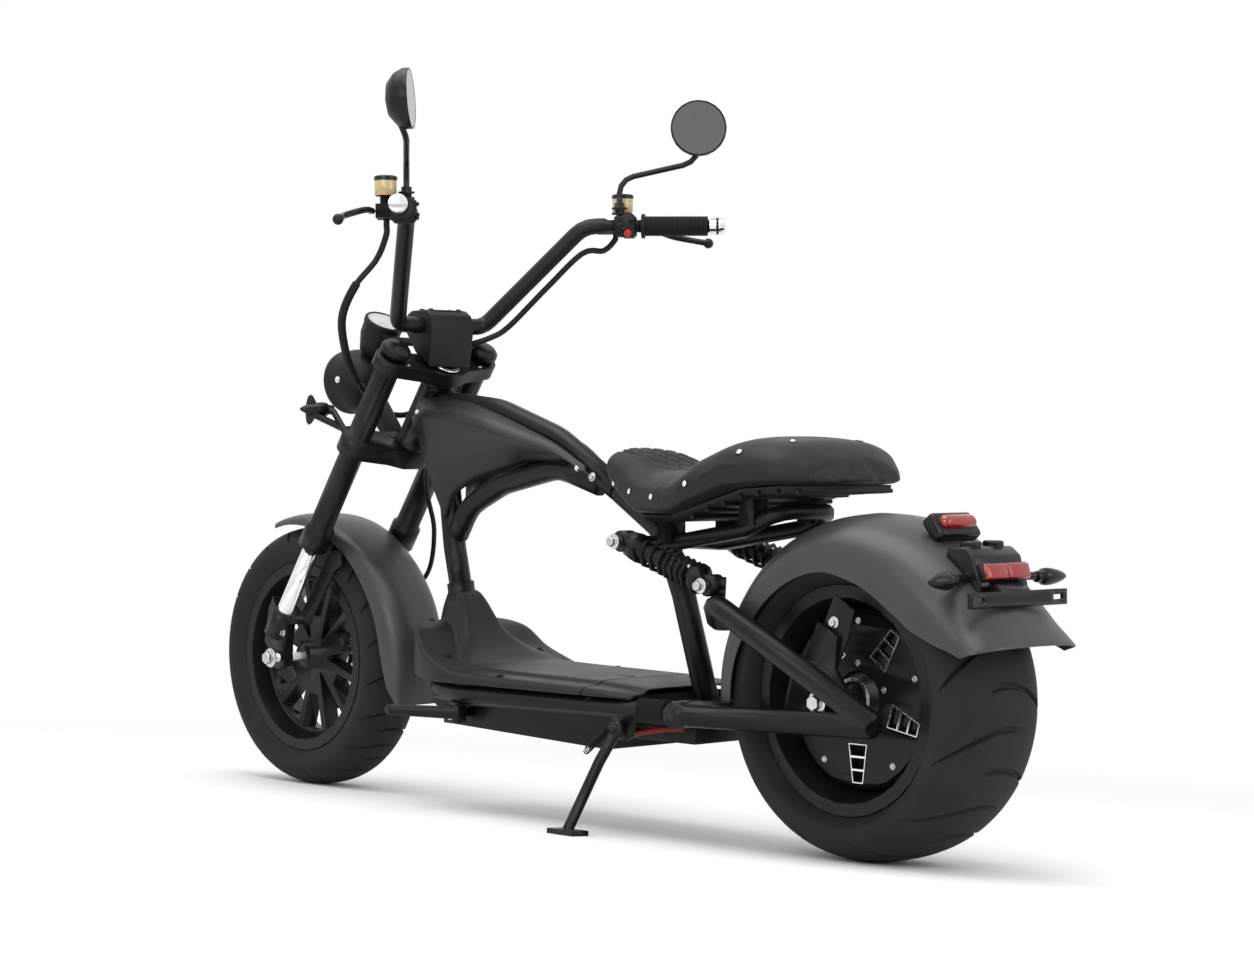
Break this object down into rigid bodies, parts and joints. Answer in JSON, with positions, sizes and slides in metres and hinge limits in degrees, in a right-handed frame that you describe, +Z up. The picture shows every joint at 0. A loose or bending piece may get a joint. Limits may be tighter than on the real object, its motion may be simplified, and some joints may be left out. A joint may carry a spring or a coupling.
{
  "type": "electric chopper scooter",
  "caption": "Low electric chopper scooter with fat tyres, swept-back handlebar, sprung front fork and rear arm, footboard, saddle, mudguards and a side stand.",
  "frame": {"origin": "on the floor, at the centre of the footprint of the scooter's bounding box as it leans on its side stand", "axes": "+X forward, +Y to the rider's left and level with the floor, +Z up"},
  "size_m": [1.8586, 0.8178, 1.206],
  "materials": {
    "satin_black": "satin",
    "graphite": "satin metallic",
    "tyre_rubber": "matt",
    "grip_rubber": "matt",
    "black_plastic": "matt",
    "black_leather": "fine grain",
    "chrome": "polished",
    "alloy": "machined",
    "black_alloy": "black coated"
  },
  "bodies": {
    "chassis": {"frame_front": "satin_black", "frame_spine": "satin_black", "frame_seat_post": "satin_black", "frame_rails": "satin_black", "swing_arm": "satin_black", "rear_axle": "alloy", "shock_left": "satin_black", "shock_right": "satin_black", "spring_left": "satin_black", "spring_right": "satin_black", "tank_cover_left": "graphite", "tank_cover_right": "graphite", "deck_front": "black_plastic", "deck_rear": "black_plastic", "battery_box": "satin_black", "battery_pack": "black_plastic", "seat": "black_leather", "seat_pan": "black_plastic", "tail_lamp": "black_plastic", "plate_bracket": "black_plastic", "rear_mudguard": "graphite", "footpeg_left": "satin_black", "footpeg_right": "satin_black", "rear_tray": "black_plastic"},
    "steering": {"upper_clamp": "satin_black", "fork_legs": "satin_black", "fork_slider_left": "chrome", "fork_slider_right": "chrome", "front_axle": "alloy", "front_mudguard": "graphite", "riser": "black_plastic", "handlebar": "satin_black", "grip_left": "grip_rubber", "grip_right": "grip_rubber", "controls_left": "black_plastic", "controls_right": "black_plastic", "lever_left": "black_alloy", "lever_right": "black_alloy", "mirror_left": "satin_black", "mirror_right": "satin_black", "headlight": "black_plastic", "speedometer": "black_plastic"},
    "front_wheel": {"front_tyre": "tyre_rubber", "front_rim": "black_alloy", "front_brake_disc": "alloy"},
    "rear_wheel": {"rear_tyre": "tyre_rubber", "rear_rim": "black_alloy", "hub_motor": "black_alloy", "motor_cover": "black_alloy", "rear_brake_disc": "alloy"},
    "side_stand_leg": {"side_stand": "satin_black"}
  },
  "joints": [
    {"name": "steering_turn", "type": "hinge", "parent": "chassis", "child": "steering", "pos_m": [0.34639, -0.01465, 0.74888], "axis": [-0.5693, 0.0602, 0.8199], "range_deg": [-38, 38]},
    {"name": "front_wheel_spin", "type": "hinge", "parent": "steering", "child": "front_wheel", "pos_m": [0.70039, -0.05288, 0.22828], "axis": [0, 0.9973, -0.0732], "continuous": true},
    {"name": "rear_wheel_spin", "type": "hinge", "parent": "chassis", "child": "rear_wheel", "pos_m": [-0.63761, -0.05226, 0.23675], "axis": [0, 0.9973, -0.0732], "continuous": true},
    {"name": "side_stand_fold", "type": "hinge", "parent": "chassis", "child": "side_stand_leg", "pos_m": [-0.23561, 0.09048, 0.15959], "axis": [0, 0.9907, 0.1357], "range_deg": [0, 95]}
  ]
}
